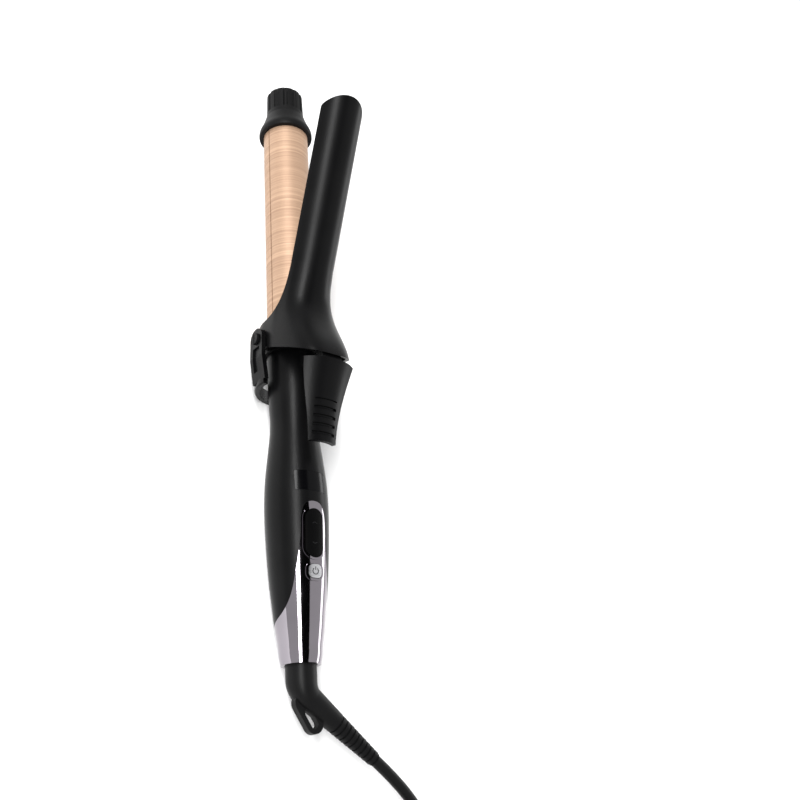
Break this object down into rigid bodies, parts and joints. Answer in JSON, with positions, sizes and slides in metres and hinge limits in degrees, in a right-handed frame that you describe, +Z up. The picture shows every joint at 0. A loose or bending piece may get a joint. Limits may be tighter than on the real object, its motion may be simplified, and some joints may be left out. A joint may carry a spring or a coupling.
{
  "type": "curling iron",
  "caption": "Hand-held electric curling iron: heated round barrel with a hinged spring clip, thumb lever, folding wire-rest stand, control panel and swivelling mains cord.",
  "frame": {"origin": "Centre of the iron's bounding box on the table it lies on, without the free cord, its coil and its plug.", "axes": "+Z is up, out of the controls; +Y runs along the barrel from the cord end to the heat-proof tip; +X goes across, to the left as seen from the cord end looking up the barrel with the controls towards the viewer's back, that is to the right hand of someone looking along +Y."},
  "size_m": [0.1397, 0.6979, 0.1178],
  "materials": {
    "handle_black": "satin black moulded plastic",
    "cover_chrome": "dark smoked mirror chrome",
    "window_black": "glossy black display window",
    "key_black": "matte black key",
    "button_silver": "pale silver satin",
    "board_green": "solder-masked circuit board",
    "inner_plastic": "plain pale engineering plastic",
    "contact_brass": "bare brass",
    "lead_white": "insulated wire",
    "barrel_rose": "rose-gold satin, brushed around the barrel",
    "spreader_alu": "plain aluminium",
    "ceramic_white": "white ceramic",
    "tip_black": "matte black heat-proof plastic",
    "steel": "plain steel",
    "clip_black": "satin black heat-proof plastic",
    "plate_alu": "satin aluminium",
    "stand_black": "semi-gloss black plastic",
    "cord_black": "black flexible plastic",
    "tie_black": "black twist tie"
  },
  "bodies": {
    "root": {"handle_front_shell": "handle_black", "handle_rear_shell": "handle_black", "tail_cover": "cover_chrome", "display_window": "window_black", "control_board": "board_green", "display_module": "window_black", "tact_switches": "key_black", "power_relay": "inner_plastic", "swivel_socket": "inner_plastic", "contact_disc": "contact_brass", "mains_leads": "lead_white", "heater_leads": "lead_white", "barrel_front_shell": "barrel_rose", "barrel_rear_shell": "barrel_rose", "barrel_mount": "inner_plastic", "heat_spreader_front": "spreader_alu", "heat_spreader_rear": "spreader_alu", "ceramic_heater": "ceramic_white", "thermistor": "lead_white", "thermal_fuse": "steel", "tip_insulator": "ceramic_white", "tip_collar": "tip_black", "tip_cap": "tip_black", "hinge_block": "tip_black", "hinge_screws": "tip_black", "clip_spring": "steel", "cord_run": "cord_black", "cord_tail": "cord_black", "cord_coil": "cord_black", "cord_tie": "tie_black", "plug_body": "cord_black", "plug_blades": "steel"},
    "clip": {"clip_cover": "clip_black", "clip_plate": "plate_alu", "thumb_lever": "clip_black"},
    "stand": {"stand": "stand_black"},
    "key": {"rocker_key": "key_black"},
    "power": {"power_button": "button_silver"},
    "swivel": {"swivel_elbow": "cord_black", "bend_protector": "cord_black"}
  },
  "joints": [
    {"name": "clip_hinge", "type": "hinge", "parent": "root", "child": "clip", "pos_m": [-0.01135, 0.02487, 0.02609], "axis": [1, 0, 0], "range_deg": [-23, 9], "stiffness_Nm_per_rad": 0.12, "springref_deg": -22.98, "deforming": ["clip_spring"]},
    {"name": "stand_hinge", "type": "hinge", "parent": "root", "child": "stand", "pos_m": [-0.01135, 0.02487, 0.02609], "axis": [1, 0, 0], "range_deg": [0, 75]},
    {"name": "rocker_pivot", "type": "hinge", "parent": "root", "child": "key", "pos_m": [-0.01135, -0.10844, 0.03686], "axis": [1, 0, 0], "range_deg": [-2, 2], "stiffness_Nm_per_rad": 0.4},
    {"name": "power_press", "type": "slide", "parent": "root", "child": "power", "axis": [0, 0.0506, -0.9987], "range_m": [0, 0.0008], "stiffness_N_per_m": 400},
    {"name": "cord_swivel", "type": "hinge", "parent": "root", "child": "swivel", "pos_m": [-0.01135, -0.18286, 0.01557], "axis": [0, 0.9987, 0.0506], "continuous": true}
  ]
}
